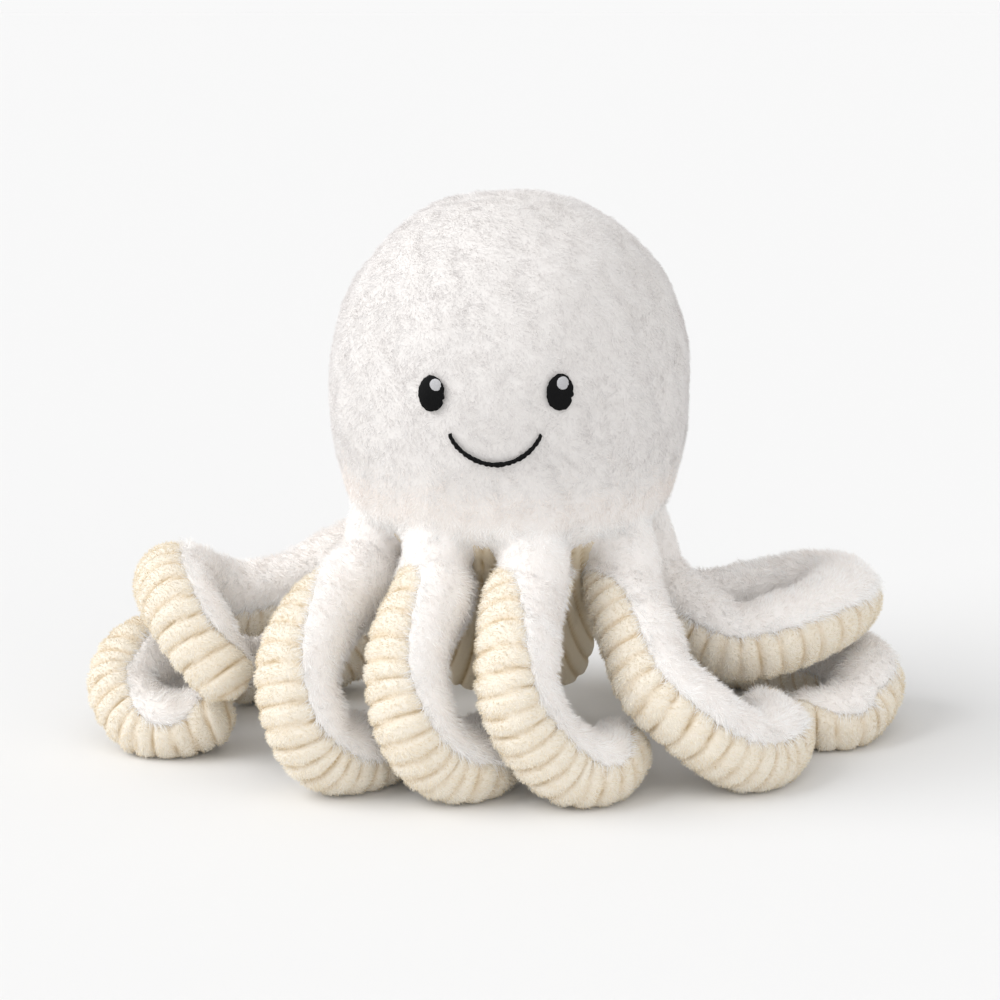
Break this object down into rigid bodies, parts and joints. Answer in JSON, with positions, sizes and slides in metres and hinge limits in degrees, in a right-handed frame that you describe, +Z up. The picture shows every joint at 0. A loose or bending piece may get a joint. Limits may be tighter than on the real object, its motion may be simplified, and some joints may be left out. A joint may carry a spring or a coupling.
{
  "type": "plush octopus",
  "caption": "Round-headed plush octopus that stands on curled stuffed arms, white plush above and ribbed cream plush underneath, with a sewn face.",
  "frame": {"origin": "on the floor under the middle of the toy's outline", "axes": "+Z up, the face looks along -Y, +X is the viewer's right"},
  "size_m": [0.4933, 0.2882, 0.33],
  "materials": {
    "white_plush": "long soft pile, matt",
    "ribbed_cream_plush": "short pile in soft channels, matt",
    "fibre_filling": "loose polyester fibre, hidden",
    "black_thread": "satin stitch, slightly glossy",
    "grey_thread": "satin stitch, slightly glossy"
  },
  "bodies": {
    "body": {"head_cover": "white_plush", "head_filling": "fibre_filling", "base_panel": "ribbed_cream_plush", "eye_left": "black_thread", "eye_right": "black_thread", "eye_highlight_left": "grey_thread", "eye_highlight_right": "grey_thread", "smile": "black_thread"},
    "arm_1": {"arm_1_top": "white_plush", "arm_1_underside": "ribbed_cream_plush", "arm_1_filling": "fibre_filling"},
    "arm_2": {"arm_2_top": "white_plush", "arm_2_underside": "ribbed_cream_plush", "arm_2_filling": "fibre_filling"},
    "arm_3": {"arm_3_top": "white_plush", "arm_3_underside": "ribbed_cream_plush", "arm_3_filling": "fibre_filling"},
    "arm_4": {"arm_4_top": "white_plush", "arm_4_underside": "ribbed_cream_plush", "arm_4_filling": "fibre_filling"},
    "arm_5": {"arm_5_top": "white_plush", "arm_5_underside": "ribbed_cream_plush", "arm_5_filling": "fibre_filling"},
    "arm_6": {"arm_6_top": "white_plush", "arm_6_underside": "ribbed_cream_plush", "arm_6_filling": "fibre_filling"},
    "arm_7": {"arm_7_top": "white_plush", "arm_7_underside": "ribbed_cream_plush", "arm_7_filling": "fibre_filling"},
    "arm_8": {"arm_8_top": "white_plush", "arm_8_underside": "ribbed_cream_plush", "arm_8_filling": "fibre_filling"}
  },
  "joints": [
    {"name": "arm_1_lift", "type": "hinge", "parent": "body", "child": "arm_1", "pos_m": [-0.00841, 0.0848, 0.116], "axis": [0.9823, 0.1874, 0], "range_deg": [0, 25], "stiffness_Nm_per_rad": 1.3},
    {"name": "arm_2_lift", "type": "hinge", "parent": "body", "child": "arm_2", "pos_m": [-0.05703, 0.05287, 0.116], "axis": [0.5621, 0.8271, 0], "range_deg": [0, 25], "stiffness_Nm_per_rad": 1.3},
    {"name": "arm_3_lift", "type": "hinge", "parent": "body", "child": "arm_3", "pos_m": [-0.06882, -0.00409, 0.116], "axis": [-0.1874, 0.9823, 0], "range_deg": [-3, 25], "stiffness_Nm_per_rad": 1.3},
    {"name": "arm_4_lift", "type": "hinge", "parent": "body", "child": "arm_4", "pos_m": [-0.03689, -0.05271, 0.116], "axis": [-0.8271, 0.5621, 0], "range_deg": [-3, 25], "stiffness_Nm_per_rad": 1.3},
    {"name": "arm_5_lift", "type": "hinge", "parent": "body", "child": "arm_5", "pos_m": [0.02007, -0.06451, 0.116], "axis": [-0.9823, -0.1874, 0], "range_deg": [-3, 8], "stiffness_Nm_per_rad": 1.3},
    {"name": "arm_6_lift", "type": "hinge", "parent": "body", "child": "arm_6", "pos_m": [0.06869, -0.03257, 0.116], "axis": [-0.5621, -0.8271, 0], "range_deg": [0, 25], "stiffness_Nm_per_rad": 1.3},
    {"name": "arm_7_lift", "type": "hinge", "parent": "body", "child": "arm_7", "pos_m": [0.08048, 0.02439, 0.116], "axis": [0.1874, -0.9823, 0], "range_deg": [0, 25], "stiffness_Nm_per_rad": 1.3},
    {"name": "arm_8_lift", "type": "hinge", "parent": "body", "child": "arm_8", "pos_m": [0.04855, 0.07301, 0.116], "axis": [0.8271, -0.5621, 0], "range_deg": [0, 5], "stiffness_Nm_per_rad": 1.3}
  ]
}
